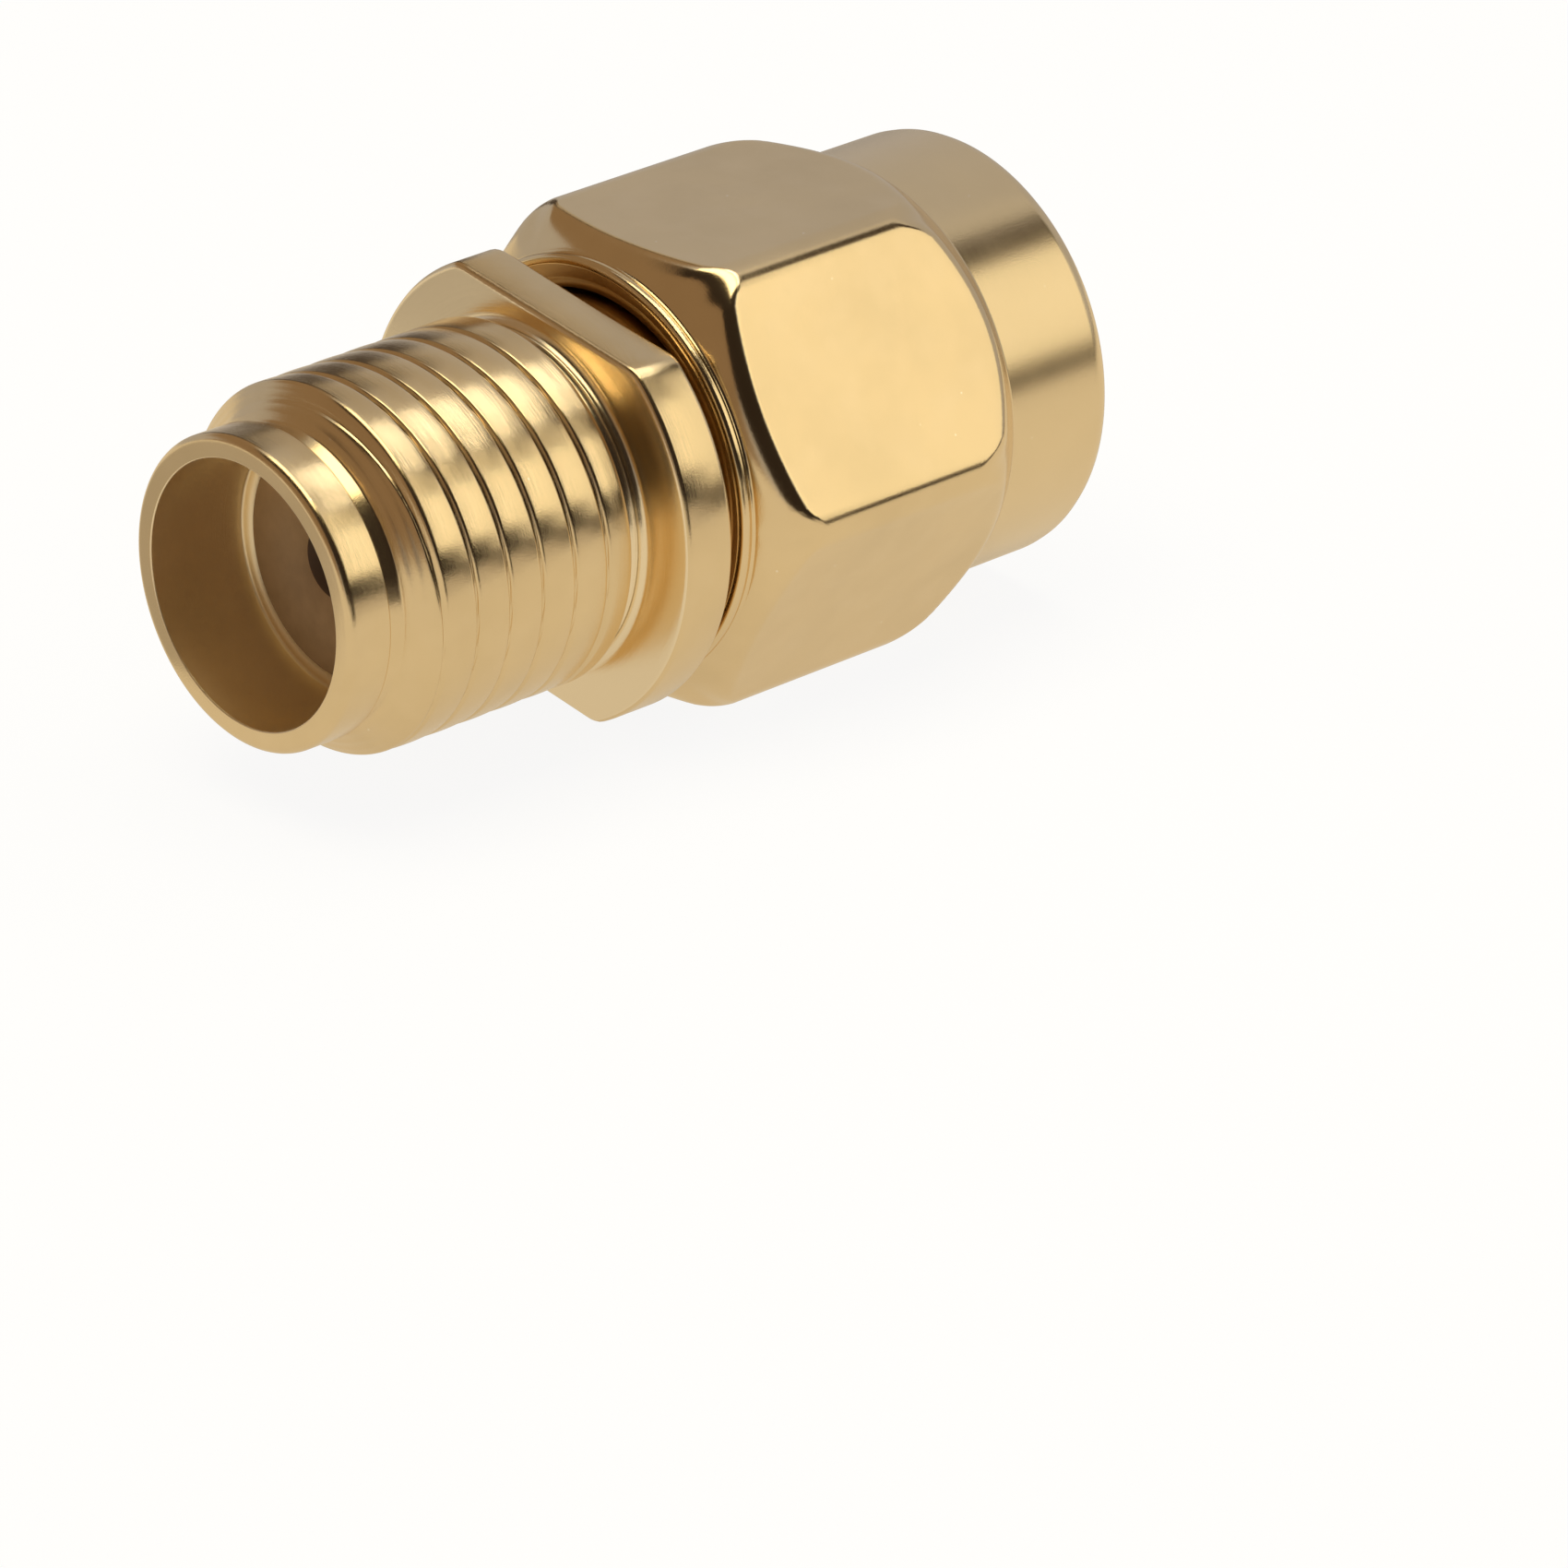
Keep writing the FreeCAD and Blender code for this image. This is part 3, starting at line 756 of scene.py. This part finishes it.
def moulded(name, dark, light):
    """Matte insulator: mottled brown, fine facing marks, a dull surface, and painted shade in the contact
    hole.
    """
    nodes = Nodes(name)
    place, _, radius, angle = turned_coordinates(nodes)
    mottle = nodes.noise(place, MOTTLE_SCALE, 4.0, 0.6)
    rings_at = nodes.add("ShaderNodeCombineXYZ", {
        "X": nodes.math("MULTIPLY", radius, RING_SCALE), "Y": nodes.math("MULTIPLY", angle, RING_DRIFT)})
    rings = nodes.noise(rings_at.outputs[0], 1.0, 3.0, 0.6)
    tone = nodes.mix(nodes.ramp(mottle, [(0.3, 0.0), (0.7, 1.0)]), dark, light)
    # Painted shade: the contact hole's wall is coloured near-black brown.
    hole_shade_mask = nodes.math("LESS_THAN", radius, (CONTACT_RADIUS + 0.02) * MM)
    tone = nodes.mix(hole_shade_mask, tone, PAINTED_HOLE_SHADE)
    nodes.put(nodes.shader.inputs["Base Color"], tone)
    nodes.put(nodes.shader.inputs["Roughness"], nodes.math("MULTIPLY_ADD", mottle, 0.2, 0.5))
    nodes.put(nodes.shader.inputs["Normal"], nodes.bump(rings, 0.3, RING_RELIEF))
    return nodes.material


def rubber(name):
    """Silicone rubber: dull red with a faint bloom and fine pits."""
    nodes = Nodes(name)
    place = nodes.add("ShaderNodeTexCoord").outputs["Object"]
    bloom = nodes.noise(place, BLOOM_SCALE, 4.0, 0.6)
    pits = nodes.noise(place, PIT_SCALE, 3.0, 0.6)
    tone = nodes.mix(nodes.ramp(bloom, [(0.35, 0.0), (0.7, 1.0)]), RUBBER_DARK, RUBBER_LIGHT)
    nodes.put(nodes.shader.inputs["Base Color"], tone)
    nodes.put(nodes.shader.inputs["Roughness"], nodes.math("MULTIPLY_ADD", bloom, 0.2, 0.55))
    nodes.put(nodes.shader.inputs["Normal"], nodes.bump(pits, 0.4, PIT_RELIEF))
    return nodes.material


def dress():
    """Builds every piece, gives it its material and hangs it on its body."""
    # Painted light: the body's bore and the recess before the flange are painted paler gold.
    body_gold = gold(
        "gold_turned", GOLD_TONE, roughness=0.19, marks=0.7, inside=BORE_RADIUS + 0.02,
        recess=(THREAD_END + 0.03, FLANGE_FRONT + 0.02))
    # Painted shade: inside the lip the nut is painted a darker gold.
    nut_gold = gold(
        "gold_polished", GOLD_TONE, roughness=0.15, marks=0.16, inside=LIP_INNER_RADIUS - 0.02,
        inside_painted_light=SHADED, satin_from=HEX_REAR + 0.25)
    sleeve_gold = gold("gold_sleeve", GOLD_TONE, roughness=0.16, marks=0.35)
    contact_gold = gold("gold_contact", CONTACT_TONE, roughness=0.18, marks=0.25)
    ring_gold = gold("gold_spring", SPRING_TONE, roughness=0.24, marks=0.2)
    insulator = moulded("insulator_brown", INSULATOR_DARK, INSULATOR_LIGHT)
    gasket = rubber("silicone_red")
    joint = INSULATOR_JOINT
    pieces = [
        (body_piece(), "adapter_body", "adapter", "body_gold", body_gold),
        (nut_piece(), "coupling_nut", "nut", "nut_gold", nut_gold),
        (outer_contact_piece(), "outer_contact", "adapter", "plug_gold", sleeve_gold),
        (gasket_piece(), "sealing_gasket", "adapter", "gasket_rubber", gasket),
        (insulator_piece("insulator_socket_side", BORE_DEPTH, joint, CONTACT_RADIUS),
         "socket_insulator", "adapter", "socket_insulator", insulator),
        (insulator_piece("insulator_plug_side", joint + PIN_COLLAR_LENGTH, PLUG_FACE, CONTACT_RADIUS),
         "plug_insulator", "adapter", "plug_insulator", insulator),
        (pin_piece(), "pin_contact", "adapter", "pin_gold", contact_gold),
    ]
    for obj, node, body, slot, material in pieces:
        obj.data.materials.append(material)
        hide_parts(node)
        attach(obj, body)
    for node, material in (("socket_contact", contact_gold), ("retaining_ring", ring_gold)):
        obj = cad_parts[node]
        for slot in obj.material_slots:
            slot.material = material


def floor_material():
    """Pale floor. What the camera and reflections see is lifted towards white; shadows stay."""
    nodes = Nodes("pale_floor")
    tree = nodes.tree
    place = nodes.add("ShaderNodeTexCoord").outputs["Object"]
    paper = nodes.noise(place, PAPER_SCALE, 4.0, 0.6)
    nodes.put(nodes.shader.inputs["Base Color"], nodes.mix(paper, FLOOR_DARK, FLOOR_LIGHT))
    nodes.shader.inputs["Roughness"].default_value = 0.9
    nodes.shader.inputs["Specular IOR Level"].default_value = 0.1
    path = nodes.add("ShaderNodeLightPath")
    mirrored = nodes.math("MAXIMUM", path.outputs["Is Glossy Ray"], path.outputs["Is Transmission Ray"])
    seen = path.outputs["Is Camera Ray"]
    lift = nodes.math("MULTIPLY_ADD", seen, FLOOR_LIFT, nodes.math("MULTIPLY", mirrored, MIRRORED_LIFT))
    colour = nodes.mix(mirrored, (FLOOR_WHITE, FLOOR_WHITE, FLOOR_WHITE), MIRRORED_COLOUR)
    white = nodes.add("ShaderNodeEmission", {"Color": colour, "Strength": 1.0})
    blend = nodes.add("ShaderNodeMixShader", {0: lift})
    tree.links.new(nodes.shader.outputs[0], blend.inputs[1])
    tree.links.new(white.outputs[0], blend.inputs[2])
    tree.links.new(blend.outputs[0], tree.nodes["Material Output"].inputs["Surface"])
    return nodes.material


def make_floor():
    """Wide pale floor under the object."""
    mesh = bpy.data.meshes.new("floor")
    half = FLOOR_HALF
    corners = [(-half, -half, 0), (half, -half, 0), (half, half, 0), (-half, half, 0)]
    mesh.from_pydata(corners, [], [(0, 1, 2, 3)])
    floor = bpy.data.objects.new("floor", mesh)
    bpy.context.collection.objects.link(floor)
    mesh.materials.append(floor_material())


def direction(around):
    """Unit vector square to the axis, turned from +Y over +Z."""
    return Vector((0, math.cos(around), math.sin(around)))


def panel_matrix(middle_x, around, distance):
    """Placement of a panel parallel to the adapter's axis and facing it."""
    outward = direction(around)
    along = Vector((1, 0, 0))
    across = outward.cross(along)
    centre = Vector((middle_x, 0, AXIS_HEIGHT)) + outward * distance
    turn = Matrix((along, across, outward)).transposed().to_4x4()
    return Matrix.Translation(centre) @ turn


def softbox(name, x_low, x_high, around_low, around_high, distance, level, colour=WARM, mirrored=True):
    """Even rectangular lamp between two places along the axis and two angles round it, in degrees.

    level: how bright its face is.
    mirrored: whether it shows in reflections.
    """
    middle = math.radians((around_low + around_high) / 2)
    half = math.radians(abs(around_high - around_low) / 2)
    lamp = bpy.data.lights.new(name, "AREA")
    lamp.shape = "RECTANGLE"
    lamp.size = x_high - x_low
    lamp.size_y = 2 * distance * math.tan(half)
    lamp.energy = level * math.pi * lamp.size * lamp.size_y
    lamp.color = colour
    obj = bpy.data.objects.new(name, lamp)
    obj.matrix_world = panel_matrix((x_low + x_high) / 2, middle, distance)
    obj.visible_camera = False
    obj.visible_glossy = mirrored
    bpy.context.collection.objects.link(obj)


def reflected_only(name, mesh, tone, shades=False):
    """Glowing card of an even tone that is seen only in reflections.

    shades: whether it also hides the lamps behind it.
    """
    nodes = Nodes(name)
    glow = nodes.add("ShaderNodeEmission", {"Color": (*tone, 1), "Strength": 1.0})
    nodes.put(nodes.tree.nodes["Material Output"].inputs["Surface"], glow.outputs[0])
    mesh.materials.append(nodes.material)
    card = bpy.data.objects.new(name, mesh)
    card.visible_camera = False
    card.visible_diffuse = False
    card.visible_shadow = shades
    bpy.context.collection.objects.link(card)
    return card


def side_panel(name, x_low, x_high, around_low, around_high, distance, tone, shades=False):
    """Card between two places along the axis and two angles round it, in degrees."""
    middle = math.radians((around_low + around_high) / 2)
    half = math.radians(abs(around_high - around_low) / 2)
    width = (x_high - x_low) / 2
    height = distance * math.tan(half)
    mesh = bpy.data.meshes.new(name)
    corners = [(-width, -height, 0), (width, -height, 0), (width, height, 0), (-width, height, 0)]
    mesh.from_pydata(corners, [], [(0, 1, 2, 3)])
    card = reflected_only(name, mesh, tone, shades)
    card.matrix_world = panel_matrix((x_low + x_high) / 2, middle, distance)


def end_panel(name, x, y_low, y_high, z_high, tone):
    """Upright card square to the axis, beyond the socket's mouth."""
    mesh = bpy.data.meshes.new(name)
    foot = CARD_FOOT
    corners = [(x, y_low, foot), (x, y_high, foot), (x, y_high, z_high), (x, y_low, z_high)]
    mesh.from_pydata(corners, [], [(0, 1, 2, 3)])
    reflected_only(name, mesh, tone)


def floor_card(name, x_low, x_high, y_low, y_high, tone):
    """Paper lying beside the object, seen only low in its reflections."""
    mesh = bpy.data.meshes.new(name)
    corners = [
        (x_low, y_low, PAPER_HEIGHT), (x_high, y_low, PAPER_HEIGHT),
        (x_high, y_high, PAPER_HEIGHT), (x_low, y_high, PAPER_HEIGHT),
    ]
    mesh.from_pydata(corners, [], [(0, 1, 2, 3)])
    reflected_only(name, mesh, tone)


def make_light():
    """Soft lamps at the side and overhead, and a grey room.

    Two small lamps and the near cards stand 3 cm from the axis, so that only the barrel and the
    pilot mirror them. The other cards are far off and shape what the whole object mirrors.
    Lamps and cards are given by x, x, degrees, degrees and distance from the axis, in metres.
    """
    softbox("side_box", 0.166, 0.54, 117, 176, 0.33, 0.62)
    softbox("edge_box", 0.166, 0.2515, 117, 176, 0.335, 0.30)
    softbox("top_box", -0.06, 0.155, 68, 113, 0.42, 2.6)
    softbox("fill_box", -0.30, -0.06, 68, 113, 0.42, 3.2, mirrored=False)
    softbox("near_box", 0.0128, 0.0175, 80, 116, 0.030, 3.0, NEARLY_WHITE)
    softbox("pilot_box", 0.0100, 0.0130, 130, 160, 0.030, 0.5, WHITE)
    softbox("glow_box", 0.30, 0.60, 85, 97, 0.42, 0.10)
    side_panel("upper_card", 0.160, 0.56, 98, 116, 0.325, (0.050, 0.035, 0.024))
    side_panel("near_card", 0.0125, 0.0187, 118, 132, 0.029, (0.05, 0.037, 0.022), True)
    side_panel("near_end_card", 0.0176, 0.0188, 70, 117, 0.030, (0.12, 0.085, 0.05), True)
    side_panel("near_back_card", 0.0133, 0.0187, 3, 31, 0.030, (0.085, 0.065, 0.050))
    side_panel("near_top_card", 0.0133, 0.0187, 31, 79, 0.030, (0.42, 0.345, 0.25))
    side_panel("near_low_card", 0.0040, 0.0189, 164, 178, 0.030, (0.010, 0.007, 0.005), True)
    side_panel("near_floor_card", 0.0040, 0.0189, 179, 191, 0.030, (0.64, 0.56, 0.44))
    side_panel("top_card", -0.60, -0.06, 58, 113, 0.41, DARK)
    side_panel("side_card", -0.45, 0.160, 113, 180, 0.325, DARK)
    side_panel("lower_card", 0.160, 0.56, 176, 180, 0.325, DIM)
    side_panel("back_card", 0.130, 0.205, 4, 58, 0.32, DARK)
    side_panel("back_brown", -0.36, 0.130, 20, 58, 0.32, BROWN)
    end_panel("end_card", -0.36, -0.20, 0.60, 0.40, BROWN)
    floor_card("floor_card", -0.03, 0.56, -0.32, -0.029, DARK)
    floor_card("mouth_card", -0.030, -0.0095, 0.0045, 0.030, (0.46, 0.40, 0.32))
    floor_card("far_card", 0.012, 1.2, 0.012, 1.4, (0.44, 0.405, 0.37))
    world = bpy.data.worlds.new("room")
    bpy.context.scene.world = world
    world.use_nodes = True
    background = world.node_tree.nodes["Background"]
    background.inputs["Color"].default_value = ROOM
    background.inputs["Strength"].default_value = 1.0


def make_camera():
    """Long lens that looks at the object as the photograph does."""
    look = Vector((
        math.sin(CAMERA_TURN) * math.cos(CAMERA_HEIGHT),
        math.cos(CAMERA_TURN) * math.cos(CAMERA_HEIGHT),
        -math.sin(CAMERA_HEIGHT),
    ))
    data = bpy.data.cameras.new("camera")
    data.sensor_width = SENSOR
    data.lens = LENS
    data.clip_start = NEAREST_SEEN
    data.clip_end = FARTHEST_SEEN
    camera = bpy.data.objects.new("camera", data)
    turn = look.to_track_quat("-Z", "Y").to_matrix().to_4x4() @ Matrix.Rotation(CAMERA_ROLL, 4, "Z")
    camera.matrix_world = Matrix.Translation(CAMERA_AIM - look * CAMERA_DISTANCE) @ turn
    bpy.context.collection.objects.link(camera)
    bpy.context.scene.camera = camera


dress()
make_floor()
make_light()
make_camera()
bpy.context.scene.view_settings.view_transform = "Standard"
